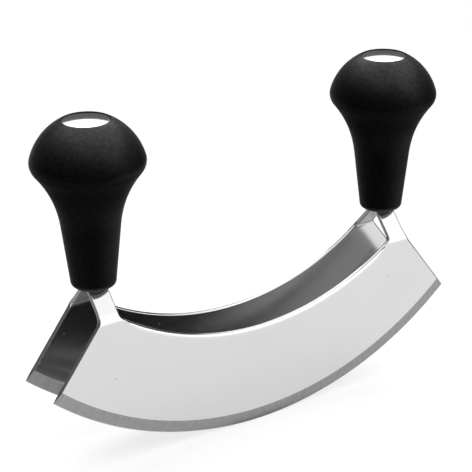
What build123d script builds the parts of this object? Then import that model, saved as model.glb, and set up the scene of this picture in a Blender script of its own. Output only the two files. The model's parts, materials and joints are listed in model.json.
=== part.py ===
from build123d import *
import math
import os

os.makedirs("parts", exist_ok=True)

# Double-blade mezzaluna, in millimetres.
# X runs along the blades, Y from the front blade to the rear one, Z is up.
# The origin is on the table, midway between the blades and under the lowest point of their edges.

# Blades: two crescents of sheet steel, each a circular rocking edge below a tighter upper curve
tip_to_tip = 200.0
edge_radius = 153.4
upper_curve_radius = 116.7
blade_depth = 44.6
sheet_thickness = 2.0
blade_spacing = 25.8
bevel_width = 5.7
edge_land = 0.2
cut_edge_round = 0.7

# Spine: the outer side of the upper curve is ground to a soft crown that runs out before the tabs
crown_height = 2.6
crown_depth = 0.9
crown_start_slope = 0.05
crown_top_slope = 0.15
runout_radius = 12.0
runout_clearance = 0.4
runout_to_tab = 5.0

# Folded tabs at the blade ends, and the tangs above them
handle_x = 72.9
tab_width = 9.0
crease_height = 66.7
tab_lean_deg = 42.5
crease_bend_radius = 3.5
shoulder_bend_radius = 2.0
tang_length = 22.0
inner_corner_radius = 3.0
outer_corner_radius = 10.0
tang_corner_radius = 1.5

# Handle, from its foot on the tabs to its domed top
foot_gap = 0.3
foot_flat_radius = 7.2
foot_round_radius = 2.1
neck_length = 23.6
neck_top_radius = 12.0
cove_length = 23.0
cove_slope_deg = 39.0
head_radius = 23.0
head_edge_radius = 6.0
top_radius = 24.5
top_tilt_deg = 16.0

# Soft overmould over the stiff core
grip_wall = 2.0
core_foot_radius = 6.6
overmould_gap = 0.05

# End cap, let into the domed top
cap_radius = 9.6
cap_groove = 0.3
cap_rim_thickness = 1.0
cap_sheet = 0.8
cap_dome_height = 1.2
cap_skirt_radius = 7.9
cap_skirt_depth = 4.0
cap_edge_radius = 0.3
cap_sink = 0.3
cap_collar_wall = 1.1
cap_fit_gap = 0.1

# Tie rod with its tongue between the tangs, nut and washer in the recess under the cap
tongue_thickness = 2.0
tongue_width = 9.0
tongue_rise = 1.2
rod_radius = 3.0
rod_shoulder = 6.0
rod_bore_gap = 0.2
rod_stick_out = 2.0
thread_gap = 0.05
nut_across_flats = 10.0
nut_height = 5.0
nut_chamfer = 0.6
washer_radius = 6.0
washer_thickness = 1.6
recess_gap = 0.8
recess_depth = 16.0
slot_gap = 0.15
slot_head_room = 1.0

# Flush rivets through tang, tongue and tang
rivet_radius = 1.5
rivet_head_radius = 2.4
rivet_head_depth = 0.9
rivet_gap = 0.05
rivet_edge_distance = 5.0
rivet_pitch = 11.0

# One overrun serves every cut
overrun = 5.0


# Places that follow from the sizes above
outer_face_y = -blade_spacing / 2
inner_face_y = outer_face_y + sheet_thickness
mid_sheet_y = outer_face_y + sheet_thickness / 2
tang_outer_y = -tongue_thickness / 2 - sheet_thickness
tang_inner_y = -tongue_thickness / 2
tab_lean = math.radians(tab_lean_deg)
shoulder_height = crease_height + (tang_outer_y - outer_face_y) / math.tan(tab_lean)
tang_top = shoulder_height + tang_length
crease_outer_radius = crease_bend_radius + sheet_thickness
shoulder_outer_radius = shoulder_bend_radius + sheet_thickness
bend_start = crease_height - crease_outer_radius * math.tan(tab_lean / 2)
tab_inner_x = handle_x - tab_width / 2
tab_outer_x = handle_x + tab_width / 2
curve_centre_height = blade_depth + upper_curve_radius
runout_start = math.degrees(math.asin((tab_inner_x - runout_to_tab) / upper_curve_radius))
runout_turn = math.degrees(math.acos(1 - (crown_depth + runout_clearance) / runout_radius))
tip_x = tip_to_tip / 2
tip_height = edge_radius - math.sqrt(edge_radius**2 - tip_x**2)

foot_height = shoulder_height + foot_gap
foot_radius = foot_flat_radius + foot_round_radius
neck_foot_height = foot_height + foot_round_radius
neck_top_height = neck_foot_height + neck_length
cove_top_height = neck_top_height + cove_length
cove_slope = math.radians(cove_slope_deg)
top_tilt = math.radians(top_tilt_deg)
head_centre_r = head_radius - head_edge_radius
head_centre_height = cove_top_height + head_edge_radius * math.sin(cove_slope)
top_centre_r = head_centre_r - (top_radius - head_edge_radius) * math.cos(top_tilt)
top_centre_height = head_centre_height - (top_radius - head_edge_radius) * math.sin(top_tilt)

groove_radius = cap_radius + cap_groove
top_at_groove = top_centre_height + math.sqrt(top_radius**2 - (groove_radius - top_centre_r) ** 2)
cap_rim_height = top_at_groove - cap_sink
cap_seat_height = cap_rim_height - cap_rim_thickness
collar_radius = groove_radius + cap_collar_wall

slot_half_x = tab_width / 2 + slot_gap
slot_half_y = -tang_outer_y + slot_gap
tongue_bottom = foot_height + tongue_rise
shoulder_bottom = tang_top + slot_head_room / 2
slot_top = shoulder_bottom + rod_shoulder + slot_head_room / 2
recess_floor = cap_seat_height - recess_depth
nut_bottom = recess_floor + washer_thickness
nut_corner_radius = nut_across_flats / 2 / math.cos(math.pi / 6)
recess_radius = washer_radius + recess_gap
rod_top = nut_bottom + nut_height + rod_stick_out
rivet_heights = [tang_top - rivet_edge_distance - rivet_pitch, tang_top - rivet_edge_distance]


def on_circle(centre_r, centre_height, radius, angle):
    """Point of a handle section at an angle up from the horizontal, as (r, height)."""
    return (centre_r + radius * math.cos(angle), centre_height + radius * math.sin(angle))


def turned(section):
    """Solid of revolution about the handle axis from a half section drawn in XZ."""
    return revolve(section, Axis.Z, 360)


def upright_cylinder(radius, bottom, top):
    """Cylinder on the handle axis between two heights."""
    body = Cylinder(radius, top - bottom, align=(Align.CENTER, Align.CENTER, Align.MIN))
    return Pos(0, 0, bottom) * body


# Blade

def ground_disc():
    """Full disc about the rocking centre, ground from both faces to the cutting edge."""
    land = edge_land / 2
    section = Polyline(
        (inner_face_y, edge_radius),
        (outer_face_y, edge_radius),
        (outer_face_y, bevel_width),
        (mid_sheet_y - land, 0),
        (mid_sheet_y + land, 0),
        (inner_face_y, bevel_width),
        close=True,
    )
    rocking_axis = Axis((0, 0, edge_radius), (0, 1, 0))
    return revolve(make_face(Plane.YZ * section), rocking_axis, 360)


def bent_sheet():
    """Sheet folded inward at the crease and upright again at the tang, straight along X."""
    inner_step = sheet_thickness * math.tan(tab_lean / 2)
    flat_end = bend_start - sheet_thickness
    outer_line = FilletPolyline(
        (outer_face_y, flat_end),
        (outer_face_y, crease_height),
        (tang_outer_y, shoulder_height),
        (tang_outer_y, tang_top),
        radius=[crease_outer_radius, shoulder_bend_radius],
    )
    inner_line = FilletPolyline(
        (inner_face_y, flat_end),
        (inner_face_y, crease_height - inner_step),
        (tang_inner_y, shoulder_height - inner_step),
        (tang_inner_y, tang_top),
        radius=[crease_bend_radius, shoulder_outer_radius],
    )
    top_line = Line((tang_outer_y, tang_top), (tang_inner_y, tang_top))
    bottom_line = Line((outer_face_y, flat_end), (inner_face_y, flat_end))
    section = make_face(Plane.YZ * (outer_line + top_line + inner_line + bottom_line))
    return extrude(section, tip_x, both=True)


def blade_outline():
    """Front view of the blade: end edges, tabs and the upper curve. The grinding gives the lower edge."""
    end_slope = (tip_x - tab_outer_x) / (crease_height - tip_height)
    foot_x = tip_x + end_slope * (tip_height + overrun)
    corner_height = curve_centre_height - math.sqrt(upper_curve_radius**2 - tab_inner_x**2)
    right_side = Polyline(
        (0, -overrun),
        (foot_x, -overrun),
        (tab_outer_x, crease_height),
        (tab_outer_x, tang_top),
        (tab_inner_x, tang_top),
        (tab_inner_x, corner_height),
    )
    upper_curve = ThreePointArc(
        (tab_inner_x, corner_height),
        (0, blade_depth),
        (-tab_inner_x, corner_height),
    )
    outline = make_face(right_side + mirror(right_side, Plane.YZ) + upper_curve)

    def corners_at(x, height):
        """The outline's two corners at a distance either side of the middle."""
        near = sheet_thickness / 2
        return [v for v in outline.vertices() if abs(abs(v.X) - x) < near and abs(v.Y - height) < near]

    for x, height, radius in (
        (tab_inner_x, corner_height, inner_corner_radius),
        (tab_outer_x, crease_height, outer_corner_radius),
        (tab_inner_x, tang_top, tang_corner_radius),
        (tab_outer_x, tang_top, tang_corner_radius),
    ):
        outline = fillet(corners_at(x, height), radius)
    return outline


def spine_waste():
    """What the grinding takes off the spine: carried round the upper curve, lifting off at each end."""
    crown_foot = (outer_face_y, blade_depth - crown_height)
    crown_top = (outer_face_y + crown_depth, blade_depth)
    crown_line = Spline(crown_foot, crown_top, tangents=[(crown_start_slope, 1), (1, crown_top_slope)])
    waste_line = Polyline(
        crown_top,
        (outer_face_y + crown_depth, blade_depth + crown_depth),
        (outer_face_y - crown_depth, blade_depth + crown_depth),
        (outer_face_y - crown_depth, blade_depth - crown_height),
        crown_foot,
    )
    section = make_face(Plane.YZ * (crown_line + waste_line))
    curve_axis = Axis((0, 0, curve_centre_height), (0, 1, 0))
    along_curve = revolve(section.rotate(curve_axis, -runout_start), curve_axis, 2 * runout_start)
    lift_axis = Axis((0, outer_face_y - runout_radius, 0), (0, 0, 1))
    left_end = revolve(section, lift_axis, runout_turn).rotate(curve_axis, runout_start)
    return along_curve + left_end + mirror(left_end, Plane.YZ)


def rivet_shape(gap):
    """Flush rivet along Y with a countersunk head at each end, grown by a gap for its hole."""
    half_length = -tang_outer_y
    head_start = half_length - rivet_head_depth
    section = Polyline(
        (0, -half_length),
        (rivet_head_radius + gap, -half_length),
        (rivet_radius + gap, -head_start),
        (rivet_radius + gap, head_start),
        (rivet_head_radius + gap, half_length),
        (0, half_length),
        close=True,
    )
    return revolve(make_face(section), Axis.Y, 360)


def rivet_holes():
    """Every rivet hole of both handles."""
    hole = rivet_shape(rivet_gap)
    return [Pos(side * handle_x, 0, height) * hole for side in (-1, 1) for height in rivet_heights]


def front_blade():
    """One pressing: ground crescent with a crowned spine, two leaning tabs, two riveted tangs."""
    below_bend = Pos(0, 0, bend_start) * Box(
        2 * (tip_x + overrun),
        blade_spacing + overrun,
        2 * edge_radius,
        align=(Align.CENTER, Align.CENTER, Align.MAX),
    )
    sheet = (ground_disc() & below_bend) + bent_sheet()
    front_view = Plane.XZ * blade_outline()
    outline_block = extrude(front_view, blade_spacing / 2 + overrun)
    blade = sheet & outline_block
    arcs = blade.edges().filter_by(GeomType.CIRCLE)
    spine_edges = [edge for edge in arcs if abs(edge.radius - upper_curve_radius) < cut_edge_round]
    # From the spine the rounding runs on round tabs, tangs and ends: the outline has no sharp corner
    blade = fillet(spine_edges, cut_edge_round) - spine_waste()
    for hole in rivet_holes():
        blade -= hole
    return blade


# Handle

def handle_section(inset, bottom_lines):
    """Half section of the mushroom, inset from its skin; bottom_lines lead from the axis to the neck."""
    neck_foot = (foot_radius - inset, neck_foot_height)
    neck_top = (neck_top_radius - inset, neck_top_height)
    taper = (neck_top_radius - foot_radius, neck_length)
    cove_top = on_circle(head_centre_r, head_centre_height, head_edge_radius - inset, -cove_slope)
    equator = (head_radius - inset, head_centre_height)
    top_foot = on_circle(head_centre_r, head_centre_height, head_edge_radius - inset, top_tilt)
    top_span = top_radius - inset
    top_height = top_centre_height + math.sqrt(top_span**2 - top_centre_r**2)
    top_angle = math.atan2(top_height - top_centre_height, -top_centre_r)
    top_middle = on_circle(top_centre_r, top_centre_height, top_span, (top_tilt + top_angle) / 2)
    neck = Line(neck_foot, neck_top)
    cove = Spline(neck_top, cove_top, tangents=[taper, (math.sin(cove_slope), math.cos(cove_slope))])
    head_edge = ThreePointArc(cove_top, equator, top_foot)
    domed_top = ThreePointArc(top_foot, top_middle, (0, top_height))
    axis_line = Line((0, top_height), (0, foot_height))
    return make_face(Plane.XZ * (bottom_lines + neck + cove + head_edge + domed_top + axis_line))


def grip_envelope():
    """Outer skin of the handle with its rounded foot, as a solid."""
    foot_centre_height = foot_height + foot_round_radius
    foot_middle = on_circle(foot_flat_radius, foot_centre_height, foot_round_radius, -math.pi / 4)
    foot_flat = Line((0, foot_height), (foot_flat_radius, foot_height))
    foot_round = ThreePointArc(
        (foot_flat_radius, foot_height),
        foot_middle,
        (foot_radius, foot_centre_height),
    )
    return turned(handle_section(0, foot_flat + foot_round))


def core_envelope(gap):
    """Stiff core without its holes, grown by a gap for the space it takes in the overmould."""
    inset = grip_wall - gap
    foot_point = (core_foot_radius + gap, foot_height)
    foot_flat = Line((0, foot_height), foot_point)
    foot_side = Line(foot_point, (foot_radius - inset, neck_foot_height))
    body = turned(handle_section(inset, foot_flat + foot_side))
    collar = upright_cylinder(collar_radius + gap, head_centre_height, cap_seat_height + gap)
    above_seat = upright_cylinder(head_radius, cap_seat_height + gap, cap_seat_height + top_radius)
    return body + collar - above_seat


def handle_core():
    """Core moulding with tang slot, rod bore, nut recess and the mouth that takes the cap's skirt."""
    core = core_envelope(0)
    slot = Box(
        2 * slot_half_x,
        2 * slot_half_y,
        slot_top - foot_height + overrun,
        align=(Align.CENTER, Align.CENTER, Align.MAX),
    )
    core -= Pos(0, 0, slot_top) * slot
    core -= upright_cylinder(rod_radius + rod_bore_gap, slot_top - overrun, recess_floor + overrun)
    core -= upright_cylinder(recess_radius, recess_floor, cap_seat_height + overrun)
    mouth_floor = cap_seat_height - cap_skirt_depth - cap_fit_gap
    core -= upright_cylinder(cap_skirt_radius + cap_fit_gap, mouth_floor, cap_seat_height + overrun)
    return core


def soft_grip():
    """Overmould: the visible skin, wrapped under the foot and over the collar round the cap."""
    grip = grip_envelope() - core_envelope(overmould_gap)
    grip -= upright_cylinder(groove_radius, cap_seat_height - overrun, top_at_groove + overrun)
    return grip


def end_cap():
    """Domed cap pressed from sheet, with a rim on the collar and a skirt in the core's mouth."""
    dome_top = cap_rim_height + cap_dome_height
    dome_radius = (cap_radius**2 + cap_dome_height**2) / (2 * cap_dome_height)
    skirt_bottom = cap_seat_height - cap_skirt_depth
    skirt_inner = cap_skirt_radius - cap_sheet
    inner_dome_radius = dome_radius - cap_sheet
    dome_centre_height = dome_top - dome_radius

    def dome_point(radius, r):
        """Point of a dome surface at a distance from the axis."""
        return (r, dome_centre_height + math.sqrt(radius**2 - r**2))

    outer_dome = ThreePointArc(
        (0, dome_top),
        dome_point(dome_radius, cap_radius / 2),
        (cap_radius, cap_rim_height),
    )
    underside_rim = dome_point(inner_dome_radius, skirt_inner)
    walls = Polyline(
        (cap_radius, cap_rim_height),
        (cap_radius, cap_seat_height),
        (cap_skirt_radius, cap_seat_height),
        (cap_skirt_radius, skirt_bottom),
        (skirt_inner, skirt_bottom),
        underside_rim,
    )
    inner_dome = ThreePointArc(
        underside_rim,
        dome_point(inner_dome_radius, skirt_inner / 2),
        (0, dome_top - cap_sheet),
    )
    axis_line = Line((0, dome_top - cap_sheet), (0, dome_top))
    cap = turned(make_face(Plane.XZ * (outer_dome + walls + inner_dome + axis_line)))
    rim = cap.edges().filter_by(GeomType.CIRCLE).sort_by(lambda edge: edge.radius)
    rim_edges = [edge for edge in rim if edge.radius > cap_skirt_radius + cap_fit_gap]
    return fillet(rim_edges, cap_edge_radius)


# Fastening

def tie_rod():
    """Round rod forged flat at its lower end into the tongue between the tangs."""
    tongue = Pos(0, 0, tongue_bottom) * Box(
        tongue_width,
        tongue_thickness,
        shoulder_bottom - tongue_bottom,
        align=(Align.CENTER, Align.CENTER, Align.MIN),
    )
    shoulder_foot = Plane((0, 0, shoulder_bottom)) * Rectangle(tongue_width, tongue_thickness)
    shoulder_head = Plane((0, 0, shoulder_bottom + rod_shoulder)) * Circle(rod_radius)
    shoulder = loft([shoulder_foot, shoulder_head])
    rod = tongue + shoulder + upright_cylinder(rod_radius, shoulder_bottom + rod_shoulder, rod_top)
    for height in rivet_heights:
        rod -= Pos(0, 0, height) * rivet_shape(rivet_gap)
    return rod


def rod_washer():
    """Flat washer on the floor of the recess."""
    hole = upright_cylinder(rod_radius + rod_bore_gap, recess_floor - overrun, nut_bottom + overrun)
    return upright_cylinder(washer_radius, recess_floor, nut_bottom) - hole


def rod_nut():
    """Hexagon nut with its corners turned off at both ends."""
    hexagon = Plane((0, 0, nut_bottom)) * RegularPolygon(nut_corner_radius, 6)
    turned_blank = upright_cylinder(nut_corner_radius, nut_bottom, nut_bottom + nut_height)
    end_edges = turned_blank.edges().filter_by(GeomType.CIRCLE)
    nut = extrude(hexagon, nut_height) & chamfer(end_edges, nut_chamfer)
    bore = upright_cylinder(rod_radius + thread_gap, nut_bottom - overrun, nut_bottom + nut_height + overrun)
    return nut - bore


def write_node(name, shape):
    """Write one piece as its own file."""
    shape.label = name
    export_step(shape, "parts/" + name + ".step")


blade = front_blade()
write_node("front_blade", blade)
write_node("rear_blade", Rot(0, 0, 180) * blade)

handle_pieces = {
    "handle_core": handle_core(),
    "soft_grip": soft_grip(),
    "end_cap": end_cap(),
    "tie_rod": tie_rod(),
    "rod_washer": rod_washer(),
    "rod_nut": rod_nut(),
    "lower_rivet": Pos(0, 0, rivet_heights[0]) * rivet_shape(0),
    "upper_rivet": Pos(0, 0, rivet_heights[1]) * rivet_shape(0),
}

for side_name, side in (("left", -1), ("right", 1)):
    for piece_name, piece in handle_pieces.items():
        write_node(side_name + "_" + piece_name, Pos(side * handle_x, 0, 0) * piece)
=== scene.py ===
"""Double-blade mezzaluna on a pale table: finishes for its pieces, studio light and camera."""
import json
import math

import bpy
from mathutils import Matrix, Vector

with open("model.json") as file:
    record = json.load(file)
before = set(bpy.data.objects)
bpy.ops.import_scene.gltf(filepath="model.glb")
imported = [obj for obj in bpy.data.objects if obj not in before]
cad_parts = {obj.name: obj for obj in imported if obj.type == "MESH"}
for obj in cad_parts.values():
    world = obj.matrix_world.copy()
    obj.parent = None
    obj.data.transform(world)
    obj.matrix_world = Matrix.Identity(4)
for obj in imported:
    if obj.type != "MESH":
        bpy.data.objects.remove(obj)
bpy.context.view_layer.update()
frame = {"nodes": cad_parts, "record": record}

MICRON = 0.000001

# Sizes of the object that its finishes follow, in metres
EDGE_RADIUS = 0.1534
BEVEL_WIDTH = 0.0057
HONED_WIDTH = 0.0004
SPINE_END_X = 0.064
HANDLE_X = 0.0729
CAP_RADIUS = 0.0096
HEAD_MIDDLE = 0.1303

# Borders over which a finish changes, each as its start and end in metres
BEVEL_BORDER = (EDGE_RADIUS - BEVEL_WIDTH, EDGE_RADIUS - BEVEL_WIDTH + 0.0001)
HONED_BORDER = (EDGE_RADIUS - HONED_WIDTH, EDGE_RADIUS - HONED_WIDTH / 2)
SPINE_BORDER = (SPINE_END_X, SPINE_END_X + 0.003)
INNER_FACE_BORDER = (0.0, 0.005)
HANDLED_BORDER = (HEAD_MIDDLE - 0.001, HEAD_MIDDLE + 0.017)
HEAD_DUST_BORDER = (HEAD_MIDDLE, HEAD_MIDDLE + 0.01)
FOOT_BORDER = (0.0782, 0.0802)
CAP_GROOVE_BORDER = (CAP_RADIUS + 0.0003, CAP_RADIUS + 0.0016)
CAP_RIM_BORDER = (CAP_RADIUS - 0.0008, CAP_RADIUS - 0.0002)

# How far a surface has to face sideways or down, where 1 is straight that way
CUT_EDGE_FACING = (0.06, 0.25)
LOWER_SIDE_FACING = (0.15, 0.5)
UNDER_FOOT_FACING = (0.8, 0.97)

# Colours of the finishes, as linear red, green and blue
SHEET_DULL = (0.545, 0.538, 0.540)
SHEET_BRIGHT = (0.605, 0.597, 0.599)
SHEET_PIT = (0.25, 0.24, 0.22)
GROUND_DARK = (0.12, 0.12, 0.118)
GROUND_LIGHT = (0.42, 0.42, 0.415)
HONED_EDGE = (0.70, 0.70, 0.70)
CUT_EDGE_DARK = (0.44, 0.44, 0.44)
CUT_EDGE_LIGHT = (0.58, 0.58, 0.58)
RUBBER_DARK = (0.0006, 0.0006, 0.0006)
RUBBER_LIGHT = (0.0040, 0.0039, 0.0039)
RUBBER_DUST = (0.032, 0.031, 0.030)
# Foot: partly dust, partly painted light for what the tabs bounce up onto it. Underside of the
# foot: painted light for that bounce, near white
FOOT_DUST_AND_PAINTED_LIGHT = (0.13, 0.127, 0.122)
UNDER_FOOT_PAINTED_LIGHT = (0.62, 0.615, 0.605)
CAP_BRIGHT = (0.82, 0.82, 0.82)
CAP_DULL = (0.70, 0.70, 0.705)
# Rim of the cap: painted shade that dims the highlight on its edge
CAP_RIM_PAINTED_SHADE = (0.38, 0.38, 0.38)
PLASTIC_DARK = (0.022, 0.022, 0.023)
PLASTIC_LIGHT = (0.036, 0.036, 0.036)
PLASTIC_RUBBED = (0.07, 0.07, 0.072)
ROD_DULL = (0.46, 0.46, 0.465)
ROD_BRIGHT = (0.60, 0.60, 0.60)
ROD_DINT = (0.26, 0.24, 0.22)

# Camera, worked out from the edges of blades and knobs in the photograph
PHOTO_PIXELS = 472
SENSOR_MM = 36.0
FOCAL_PIXELS = 1691.86
CLIP_START = 0.01
CAMERA_TURN = math.radians(33.575)
CAMERA_DROP = math.radians(22.597)
CAMERA_ROLL = math.radians(-0.777)
CAMERA_DISTANCE = 0.7104
CAMERA_TARGET = Vector((-0.00428, 0.0, 0.08201))

# Table, in metres
TABLE_REACH = 3.0
TABLE_RIGHT_X = 0.27
TABLE_RIGHT_Y = -0.15
WHITE_BORDER = (0.12, 0.35)
NEAR_BAND_BORDER = (0.0112, 0.0155)
FAR_BAND_BORDER = (0.152, 0.45)

# Table's share of diffuse light and its glow, for rays from the camera and for mirrored ones
TABLE_PAINT = 0.4
MIRRORED_PAINT = 0.5
CAMERA_GLOW = 0.69
NEAR_BAND_GLOW = 0.72
FAR_BAND_GLOW = 0.9

# Brightness of the room, where 1 is white, and the slopes of view at which it changes
FLOOR_GREY = 0.024
WALL_GREY = 0.12
CEILING_GREY = 0.24
FLOOR_BORDER = (-0.05, 0.05)
CEILING_BORDER = (0.3, 0.6)
WHITE = (1.0, 1.0, 1.0, 1.0)


# Node trees

class Value:
    """One output of a node. Arithmetic on it adds the Math nodes that work it out."""

    def __init__(self, sheet, socket):
        self.sheet = sheet
        self.socket = socket

    def __add__(self, other):
        return self.sheet.math("ADD", self, other)

    def __radd__(self, other):
        return self.sheet.math("ADD", other, self)

    def __sub__(self, other):
        return self.sheet.math("SUBTRACT", self, other)

    def __rsub__(self, other):
        return self.sheet.math("SUBTRACT", other, self)

    def __mul__(self, other):
        return self.sheet.math("MULTIPLY", self, other)

    def __rmul__(self, other):
        return self.sheet.math("MULTIPLY", other, self)

    def __pow__(self, other):
        return self.sheet.math("POWER", self, other)

    def __neg__(self):
        return 0 - self

    def __abs__(self):
        return self.sheet.math("ABSOLUTE", self)

    def rise(self, start, end):
        """Smooth step from 0 at start to 1 at end."""
        ends = {"From Min": start, "From Max": end, "Value": self}
        return self.sheet.node("ShaderNodeMapRange", {"interpolation_type": "SMOOTHSTEP"}, ends)


class Sheet:
    """A node tree, filled from empty by calls that each add one node."""

    def __init__(self, tree):
        tree.nodes.clear()
        self.tree = tree

    def node(self, kind, settings=None, inputs=None, output=0):
        """Any node: its settings, then the values or links of its inputs. Gives one output."""
        node = self.tree.nodes.new(kind)
        for name, setting in (settings or {}).items():
            setattr(node, name, setting)
        for name, entry in (inputs or {}).items():
            if isinstance(entry, Value):
                self.tree.links.new(entry.socket, node.inputs[name])
            else:
                node.inputs[name].default_value = entry
        return Value(self, node.outputs[output] if len(node.outputs) else None)

    def math(self, operation, *inputs):
        """A Math node on its inputs, in their order."""
        return self.node("ShaderNodeMath", {"operation": operation}, dict(enumerate(inputs)))

    def ray(self, kind):
        """1 for rays of one kind, such as Is Camera Ray, and 0 for all others."""
        return self.node("ShaderNodeLightPath", output=kind)

    def parts(self, vector):
        """X, Y and Z of a vector."""
        first = self.node("ShaderNodeSeparateXYZ", inputs={"Vector": vector})
        return [Value(self, socket) for socket in first.socket.node.outputs]

    def joined(self, x, y, z):
        """Vector from three values."""
        return self.node("ShaderNodeCombineXYZ", inputs={"X": x, "Y": y, "Z": z})

    def stretched(self, vector, scale, turn=(0.0, 0.0, 0.0)):
        """A vector scaled apart along each axis and then turned, for drawn-out patterns."""
        inputs = {"Vector": vector, "Scale": scale, "Rotation": turn}
        return self.node("ShaderNodeMapping", {"vector_type": "POINT"}, inputs)

    def noise(self, vector, per_metre, detail=2.0, roughness=0.5):
        """Soft noise from 0 to 1, with so many waves to the metre."""
        inputs = {"Vector": vector, "Scale": per_metre, "Detail": detail, "Roughness": roughness}
        return self.node("ShaderNodeTexNoise", {"noise_dimensions": "3D"}, inputs)

    def specks(self, vector, per_metre, size):
        """1 in small round spots, so many to the metre, that fade out at a size in metres."""
        settings = {"feature": "F1", "voronoi_dimensions": "3D"}
        inputs = {"Vector": vector, "Scale": per_metre}
        distance = self.node("ShaderNodeTexVoronoi", settings, inputs, "Distance")
        return 1 - distance.rise(size * per_metre / 2, size * per_metre)

    def blend(self, share, first, second):
        """First colour, replaced by the second one by a share from 0 to 1."""
        ends = [end if isinstance(end, Value) else (*end, 1.0) for end in (first, second)]
        inputs = {0: share, 6: ends[0], 7: ends[1]}
        return self.node("ShaderNodeMix", {"data_type": "RGBA"}, inputs, output=2)


class Finish(Sheet):
    """A material on Object coordinates."""

    def __init__(self, name):
        self.material = bpy.data.materials.new(name)
        self.material.use_nodes = True
        super().__init__(self.material.node_tree)
        self.place = self.node("ShaderNodeTexCoord", output="Object")

    def facing(self):
        """X, Y and Z of the direction that the surface faces."""
        return self.parts(self.node("ShaderNodeNewGeometry", output="Normal"))

    def from_handle_axis(self):
        """Distance from the nearer handle's axis, and the angle round it."""
        x, y = self.parts(self.place)[:2]
        across = abs(x) - HANDLE_X
        return (across * across + y * y) ** 0.5, self.math("ARCTAN2", y, across)

    def bump(self, height):
        """Normal that follows a height in metres."""
        inputs = {"Strength": 1.0, "Distance": 1.0, "Height": height}
        return self.node("ShaderNodeBump", inputs=inputs)

    def shade(self, **inputs):
        """Ends the material with a Principled shader. Underscores in a name stand for spaces."""
        named = {name.replace("_", " "): entry for name, entry in inputs.items()}
        shader = self.node("ShaderNodeBsdfPrincipled", inputs=named)
        self.node("ShaderNodeOutputMaterial", inputs={"Surface": shader})
        return self.material


# Finishes of the object

def blade_steel():
    """Belt-polished sheet with hairlines and pits, a bevel ground across the edge down to a honed
    line, and tumbled cut edges. The faces between the blades are a little duller."""
    finish = Finish("blade_steel")
    x, y, z = finish.parts(finish.place)
    below_centre = EDGE_RADIUS - z
    reach = (x * x + below_centre * below_centre) ** 0.5
    along = finish.math("ARCTAN2", x, below_centre) * EDGE_RADIUS
    bevel = reach.rise(*BEVEL_BORDER)
    honed = reach.rise(*HONED_BORDER)
    facing = finish.facing()
    past_spine = abs(x).rise(*SPINE_BORDER)
    cut_edge = abs(facing[0]).rise(*CUT_EDGE_FACING) * past_spine * (1 - bevel)
    inner_face = (-y * facing[1]).rise(*INNER_FACE_BORDER)

    drift = finish.noise(finish.place, per_metre=16.0)
    belt_place = finish.stretched(finish.place, scale=(0.012, 0.1, 1.0))
    grain = finish.noise(belt_place, per_metre=5200.0, detail=3.0, roughness=0.6)
    scratch_place = finish.stretched(finish.place, scale=(0.006, 0.1, 1.0), turn=(0.0, 0.21, 0.0))
    hairlines = finish.noise(scratch_place, per_metre=2600.0, detail=1.0).rise(0.70, 0.78)
    pits = finish.specks(finish.place, per_metre=105.0, size=0.00045)
    line_stretch = 0.03
    ground_place = finish.joined(along, reach * line_stretch, y * line_stretch)
    ground_lines = (
        0.65 * finish.noise(ground_place, per_metre=4200.0, detail=3.0, roughness=0.65)
        + 0.35 * finish.noise(finish.place, per_metre=650.0, detail=3.0)
    )
    waves = finish.noise(finish.place, per_metre=38.0, detail=1.0)

    sheet_tone = 0.75 * drift + 0.35 * grain - 0.3 * hairlines
    sheet_colour = finish.blend(sheet_tone, SHEET_DULL, SHEET_BRIGHT)
    sheet_colour = finish.blend(pits * 0.55, sheet_colour, SHEET_PIT)
    bevel_colour = finish.blend(ground_lines, GROUND_DARK, GROUND_LIGHT)
    bevel_colour = finish.blend(honed, bevel_colour, HONED_EDGE)
    edge_colour = finish.blend(grain, CUT_EDGE_DARK, CUT_EDGE_LIGHT)
    face_colour = finish.blend(bevel, sheet_colour, bevel_colour)
    colour = finish.blend(cut_edge, face_colour, edge_colour)

    sheet_roughness = 0.09 + 0.05 * grain + 0.08 * hairlines + 0.25 * pits + 0.035 * inner_face
    bevel_roughness = (0.34 + 0.14 * ground_lines) * (1 - honed) + 0.16 * honed
    roughness = (
        sheet_roughness * (1 - bevel) * (1 - cut_edge)
        + bevel_roughness * bevel
        + 0.18 * cut_edge
    )
    height = (
        2.5 * MICRON * waves
        + 0.2 * MICRON * grain * (1 - bevel)
        - 4 * MICRON * pits
        - 0.6 * MICRON * hairlines
        + 2.5 * MICRON * ground_lines * bevel
    )
    normal = finish.bump(height)
    return finish.shade(Base_Color=colour, Metallic=1.0, Roughness=roughness, Normal=normal)


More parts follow.
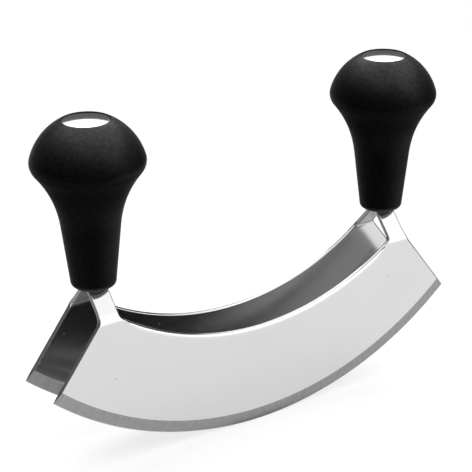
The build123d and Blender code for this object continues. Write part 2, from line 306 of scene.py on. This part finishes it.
def grip_rubber():
    """Soft-touch rubber in a millimetre grain: polished by hands on the head, glossier where it is
    seen edge-on, with lint and dust by the cap and by the foot.
    The foot is also painted paler as painted light for what the polished tabs bounce up, and its
    underside is painted near white for that bounce."""
    finish = Finish("grip_rubber")
    away = finish.from_handle_axis()[0]
    height_up = finish.parts(finish.place)[2]
    facing_down = -finish.facing()[2]
    peel = finish.noise(finish.place, per_metre=2300.0, roughness=0.55)
    grain = finish.noise(finish.place, per_metre=620.0, detail=3.0, roughness=0.62)
    mottle = finish.noise(finish.place, per_metre=70.0, detail=3.0)
    swell = finish.noise(finish.place, per_metre=180.0, detail=1.0)
    lint = finish.specks(finish.place, per_metre=230.0, size=0.00022)
    handled = height_up.rise(*HANDLED_BORDER) * (0.5 + 0.5 * mottle)
    by_cap = 1 - away.rise(*CAP_GROOVE_BORDER)
    by_foot = 1 - height_up.rise(*FOOT_BORDER)
    # Underside of the foot, which gets painted light standing in for the bounce from the tabs
    painted_light_under_foot = by_foot * facing_down.rise(*UNDER_FOOT_FACING)
    dust = (by_cap * height_up.rise(*HEAD_DUST_BORDER) + by_foot) * (0.3 + 0.7 * mottle)

    tone = 0.3 * mottle + 0.7 * grain.rise(0.3, 0.7)
    foot_share = 0.6 + 0.3 * mottle
    colour = finish.blend(tone, RUBBER_DARK, RUBBER_LIGHT)
    colour = finish.blend(dust * 0.35 + lint * 0.3, colour, RUBBER_DUST)
    # The foot is painted paler, partly dust and partly painted light for the tabs' bounce. Its
    # underside gets near-white painted light
    colour = finish.blend(by_foot * foot_share, colour, FOOT_DUST_AND_PAINTED_LIGHT)
    colour = finish.blend(painted_light_under_foot * foot_share, colour, UNDER_FOOT_PAINTED_LIGHT)
    roughness = 0.55 + 0.10 * peel + 0.12 * dust

    # The coat's gloss sets in once a surface is turned away from the viewer by this much
    gloss_start = 0.11
    edge_on = finish.node("ShaderNodeLayerWeight", inputs={"Blend": 0.5}, output="Facing")
    grazed = finish.math("MAXIMUM", edge_on - gloss_start, 0)
    grazed = grazed * (1 - facing_down.rise(*LOWER_SIDE_FACING))
    handled_gloss = 0.35 + 1.35 * grain
    grazed_gloss = 0.15 + 0.64 * grain
    gloss = handled * handled_gloss + grazed_gloss * grazed * (1 - handled)
    height = 14 * MICRON * peel + 50 * MICRON * grain + 40 * MICRON * swell
    return finish.shade(
        Base_Color=colour,
        Roughness=roughness,
        Specular_IOR_Level=0.02,
        Sheen_Weight=0.15,
        Sheen_Roughness=0.27,
        Coat_Weight=gloss,
        Coat_Roughness=0.45,
        Normal=finish.bump(height),
    )


def cap_steel():
    """Buffed cap: faint rings from the lathe, fine hairlines, smears, and a duller rim with
    painted shade that darkens its highlight.
    """
    finish = Finish("cap_steel")
    away, angle = finish.from_handle_axis()
    ring_stretch = 0.00004
    ring_place = finish.joined(away, angle * ring_stretch, 0.0)
    rings = finish.noise(ring_place, per_metre=5200.0, detail=3.0, roughness=0.6)
    scratch_place = finish.stretched(finish.place, scale=(0.03, 1.0, 0.3), turn=(0.0, 0.0, 0.6))
    hairlines = finish.noise(scratch_place, per_metre=1900.0).rise(0.66, 0.74)
    smear = finish.noise(finish.place, per_metre=160.0)
    rim = away.rise(*CAP_RIM_BORDER)

    # The rim is painted darker, a painted shade that dims the highlight at the cap's edge; its
    # extra roughness is a duller finish
    tone = 0.5 * rings + 0.3 * smear + 0.5 * rim
    colour = finish.blend(tone, CAP_BRIGHT, CAP_DULL)
    colour = finish.blend(rim * 0.8, colour, CAP_RIM_PAINTED_SHADE)
    roughness = 0.06 + 0.03 * rings + 0.05 * smear + 0.06 * hairlines + 0.1 * rim
    height = 0.3 * MICRON * rings - 0.5 * MICRON * hairlines + 4 * MICRON * smear
    normal = finish.bump(height)
    return finish.shade(Base_Color=colour, Metallic=1.0, Roughness=roughness, Normal=normal)


def core_plastic():
    """Moulded black plastic: eroded grain, flow marks up the part, and spots rubbed paler."""
    finish = Finish("core_plastic")
    erosion = finish.noise(finish.place, per_metre=3200.0, roughness=0.7)
    flow_place = finish.stretched(finish.place, scale=(1.0, 1.0, 0.12))
    flow = finish.noise(flow_place, per_metre=240.0, detail=3.0)
    rubbed = finish.noise(finish.place, per_metre=420.0).rise(0.60, 0.72)

    colour = finish.blend(flow, PLASTIC_DARK, PLASTIC_LIGHT)
    colour = finish.blend(rubbed * 0.3, colour, PLASTIC_RUBBED)
    roughness = 0.42 + 0.14 * erosion + 0.08 * flow
    height = 10 * MICRON * erosion + 6 * MICRON * flow
    return finish.shade(Base_Color=colour, Roughness=roughness, Normal=finish.bump(height))


def rod_steel():
    """Turned and pressed steel: rings along the rod, a thin oily film and small dints."""
    finish = Finish("rod_steel")
    ring_place = finish.stretched(finish.place, scale=(0.05, 0.05, 1.0))
    rings = finish.noise(ring_place, per_metre=4600.0, detail=3.0, roughness=0.6)
    film = finish.noise(finish.place, per_metre=300.0, detail=3.0)
    dints = finish.specks(finish.place, per_metre=420.0, size=0.0003)

    colour = finish.blend(0.6 * rings + 0.4 * film, ROD_DULL, ROD_BRIGHT)
    colour = finish.blend(dints * 0.5, colour, ROD_DINT)
    roughness = 0.24 + 0.12 * rings + 0.10 * film
    height = 3 * MICRON * rings - 8 * MICRON * dints
    normal = finish.bump(height)
    return finish.shade(Base_Color=colour, Metallic=1.0, Roughness=roughness, Normal=normal)


def dress_nodes():
    """Gives every CAD node the finish that its material slot names in the record."""
    makers = {
        "blade_steel": blade_steel,
        "grip_rubber": grip_rubber,
        "cap_steel": cap_steel,
        "core_plastic": core_plastic,
        "rod_steel": rod_steel,
    }
    finishes = {slot: make() for slot, make in makers.items()}
    for part in frame["record"]["subparts"]:
        node = frame["nodes"][part["node"]]
        node.data.materials.clear()
        node.data.materials.append(finishes[part["material_slot"]])


# Table, room and light

def table_finish():
    """White table that fades to plain white away from the object. For mirrored rays it glows in
    two bands, one just outside the front blade and one far in front of the object."""
    finish = Finish("table_white")
    x, y = finish.parts(finish.place)[:2]
    far = ((x * x + y * y) ** 0.5).rise(*WHITE_BORDER)
    near_band = (-y).rise(*NEAR_BAND_BORDER)
    far_band = (-y).rise(*FAR_BAND_BORDER)
    camera_ray = finish.ray("Is Camera Ray")
    mirrored_ray = finish.ray("Is Glossy Ray") + finish.ray("Is Transmission Ray")
    other_ray = 1 - camera_ray - mirrored_ray

    paint = (
        camera_ray * (1 - far) * TABLE_PAINT
        + mirrored_ray * MIRRORED_PAINT
        + other_ray * TABLE_PAINT
    )
    camera_glow = CAMERA_GLOW + (1 - CAMERA_GLOW) * far
    mirrored_glow = NEAR_BAND_GLOW * near_band + FAR_BAND_GLOW * far_band
    glow = camera_ray * camera_glow + mirrored_ray * mirrored_glow
    grey = finish.joined(paint, paint, paint)
    diffuse = finish.node("ShaderNodeBsdfDiffuse", inputs={"Color": grey})
    glowing = finish.node("ShaderNodeEmission", inputs={"Strength": glow})
    both = finish.node("ShaderNodeAddShader", inputs={0: diffuse, 1: glowing})
    finish.node("ShaderNodeOutputMaterial", inputs={"Surface": both})
    return finish.material


def table():
    """Flat table top. It ends close by on the right, so that the roundings that face there mirror
    a dark room."""
    corners = [
        (-TABLE_REACH, -TABLE_REACH, 0.0),
        (TABLE_REACH, -TABLE_REACH, 0.0),
        (TABLE_RIGHT_X, TABLE_RIGHT_Y, 0.0),
        (TABLE_RIGHT_X, TABLE_REACH, 0.0),
        (-TABLE_REACH, TABLE_REACH, 0.0),
    ]
    mesh = bpy.data.meshes.new("table")
    mesh.from_pydata(corners, [], [range(len(corners))])
    mesh.materials.append(table_finish())
    top = bpy.data.objects.new("table", mesh)
    bpy.context.scene.collection.objects.link(top)


def room():
    """White for the camera. What lights and reflects is a grey room, darker below the table's
    height and lighter overhead."""
    world = bpy.data.worlds.new("room")
    world.use_nodes = True
    bpy.context.scene.world = world
    sheet = Sheet(world.node_tree)
    direction = sheet.node("ShaderNodeTexCoord", output="Generated")
    up = sheet.parts(direction)[2]
    camera_ray = sheet.ray("Is Camera Ray")
    grey = (
        FLOOR_GREY
        + (WALL_GREY - FLOOR_GREY) * up.rise(*FLOOR_BORDER)
        + (CEILING_GREY - WALL_GREY) * up.rise(*CEILING_BORDER)
    )
    level = camera_ray + (1 - camera_ray) * grey
    background = sheet.node("ShaderNodeBackground", inputs={"Color": WHITE, "Strength": level})
    sheet.node("ShaderNodeOutputWorld", inputs={"Surface": background})


def softbox(name, place, aim, width, height, radiance):
    """Rectangular lamp whose face shows one even brightness, where 1 is white."""
    lamp = bpy.data.lights.new(name, "AREA")
    lamp.shape = "RECTANGLE"
    lamp.size = width
    lamp.size_y = height
    lamp.energy = radiance * math.pi * width * height
    stand = bpy.data.objects.new(name, lamp)
    stand.location = place
    stand.rotation_euler = (Vector(aim) - Vector(place)).to_track_quat("-Z", "Y").to_euler()
    bpy.context.scene.collection.objects.link(stand)


def studio_light():
    """A softbox overhead, one behind for the caps, and one in front on the right for the spines
    and tabs."""
    softbox(
        "overhead_softbox",
        place=(0.4, 0.1, 1.3),
        aim=(0.4, 0.1, 0.0),
        width=2.4,
        height=2.3,
        radiance=1.28,
    )
    softbox(
        "rear_softbox",
        place=(0.80, 1.30, 1.42),
        aim=(0.0, 0.0, 0.12),
        width=1.55,
        height=1.0,
        radiance=1.7,
    )
    softbox(
        "front_softbox",
        place=(0.77, -1.29, 0.75),
        aim=(0.0, 0.0, 0.4),
        width=1.1,
        height=1.6,
        radiance=1.65,
    )


def stand_camera():
    """Camera at the photograph's place: turned, dropped and rolled about its target."""
    forward = Vector((
        math.sin(CAMERA_TURN) * math.cos(CAMERA_DROP),
        math.cos(CAMERA_TURN) * math.cos(CAMERA_DROP),
        -math.sin(CAMERA_DROP),
    ))
    level_right = Vector((math.cos(CAMERA_TURN), -math.sin(CAMERA_TURN), 0.0))
    level_up = level_right.cross(forward)
    right = level_right * math.cos(CAMERA_ROLL) + level_up * math.sin(CAMERA_ROLL)
    up = level_up * math.cos(CAMERA_ROLL) - level_right * math.sin(CAMERA_ROLL)
    data = bpy.data.cameras.new("camera")
    data.sensor_width = SENSOR_MM
    data.lens = FOCAL_PIXELS / PHOTO_PIXELS * SENSOR_MM
    data.clip_start = CLIP_START
    camera = bpy.data.objects.new("camera", data)
    turned = Matrix((right, up, -forward)).transposed().to_4x4()
    camera.matrix_world = Matrix.Translation(CAMERA_TARGET - forward * CAMERA_DISTANCE) @ turned
    bpy.context.scene.collection.objects.link(camera)
    bpy.context.scene.camera = camera


stand_camera()
dress_nodes()
table()
room()
studio_light()
bpy.context.scene.view_settings.view_transform = "Standard"
